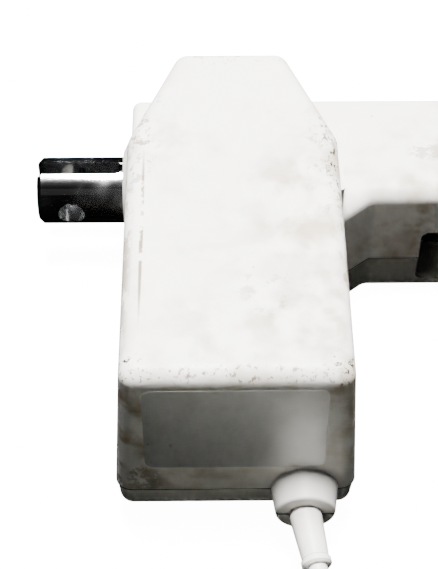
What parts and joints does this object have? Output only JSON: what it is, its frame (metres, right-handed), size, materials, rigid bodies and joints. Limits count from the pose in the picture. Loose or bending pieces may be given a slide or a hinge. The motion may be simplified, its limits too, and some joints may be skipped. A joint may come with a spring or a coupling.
{
  "type": "electric linear actuator",
  "caption": "Electric linear actuator: a motor cover with a chamfered nose set square to a spindle tube, worm drive, slotted round forks at both ends, supply cable with plug.",
  "frame": {"origin": "centre of the rear fork's pin hole, with the rod drawn in", "axes": "+X along the spindle from the rear fork to the front fork, +Y along the rear fork's pin hole and away from the motor, +Z out of the broad front face"},
  "size_m": [0.3084, 0.3402, 0.077],
  "materials": {
    "shell_plastic": "fine-grained moulded plastic, warm white",
    "relief_plastic": "soft moulded plastic, light",
    "black_plastic": "satin black plastic",
    "nut_plastic": "smooth natural acetal",
    "fork_chrome": "bright plated steel",
    "rod_steel": "drawn tube, polished",
    "gear_casting": "die-cast, as cast",
    "wheel_bronze": "machined bronze",
    "machined_steel": "turned and ground steel",
    "bearing_steel": "ground bearing steel",
    "screw_steel": "zinc-plated steel",
    "can_steel": "drawn steel, zinc-plated",
    "lamination_steel": "varnished laminations",
    "winding_copper": "enamelled copper wire",
    "commutator_copper": "bright copper",
    "ferrite": "sintered ferrite, dark",
    "brush_carbon": "carbon",
    "bush_bronze": "sintered bronze, oiled",
    "board_green": "circuit board with green mask",
    "seal_rubber": "black rubber",
    "cable_jacket": "smooth light jacket",
    "contact_brass": "plated brass"
  },
  "bodies": {
    "housing": {"front_shell": "shell_plastic", "back_shell": "shell_plastic", "housing_screws": "screw_steel", "rear_clevis": "fork_chrome", "rear_cross_pin": "machined_steel", "gear_case": "gear_casting", "gear_case_cover": "gear_casting", "cover_screws": "screw_steel", "rear_bearing_outer": "bearing_steel", "front_bearing_outer": "bearing_steel", "bearing_circlip": "machined_steel", "nose_bush": "bush_bronze", "motor_bearing_outer": "bearing_steel", "motor_can": "can_steel", "motor_front_plate": "can_steel", "motor_screws": "screw_steel", "motor_magnets": "ferrite", "brush_holder": "black_plastic", "brushes": "brush_carbon", "rear_bush": "bush_bronze", "guide_tube": "black_plastic", "guide_bush": "nut_plastic", "end_cap": "shell_plastic", "end_cap_screws": "screw_steel", "wiper_seal": "seal_rubber", "switch_board": "board_green", "limit_switches": "black_plastic", "board_posts": "nut_plastic", "strain_relief": "relief_plastic", "cable": "cable_jacket", "cable_coil": "cable_jacket", "cable_tail": "cable_jacket", "plug_body": "black_plastic", "plug_contacts": "contact_brass"},
    "screw_drive": {"spindle": "machined_steel", "worm_wheel": "wheel_bronze", "wheel_key": "machined_steel", "lock_nut": "screw_steel", "spindle_spacer": "machined_steel", "spindle_stop": "screw_steel", "rear_bearing_inner": "bearing_steel", "front_bearing_inner": "bearing_steel"},
    "rotor": {"worm_shaft": "machined_steel", "armature_core": "lamination_steel", "armature_windings": "winding_copper", "commutator": "commutator_copper", "motor_bearing_inner": "bearing_steel"},
    "rod": {"spindle_nut": "nut_plastic", "piston_tube": "rod_steel", "front_clevis": "fork_chrome"}
  },
  "joints": [
    {"name": "rotor_spin", "type": "hinge", "parent": "housing", "child": "rotor", "pos_m": [0.06, 0, 0.0225], "axis": [0, 1, 0], "range_deg": [0, 336000]},
    {"name": "spindle_spin", "type": "hinge", "parent": "housing", "child": "screw_drive", "pos_m": [0, 0, 0], "axis": [1, 0, 0], "range_deg": [0, 12000]},
    {"name": "rod_slide", "type": "slide", "parent": "housing", "child": "rod", "axis": [1, 0, 0], "range_m": [0, 0.1]}
  ],
  "couplings": [
    {"joint": "spindle_spin", "follows": "rotor_spin", "ratio": 0.035714},
    {"joint": "rod_slide", "follows": "rotor_spin", "m_per_rad": 0.000017052}
  ]
}
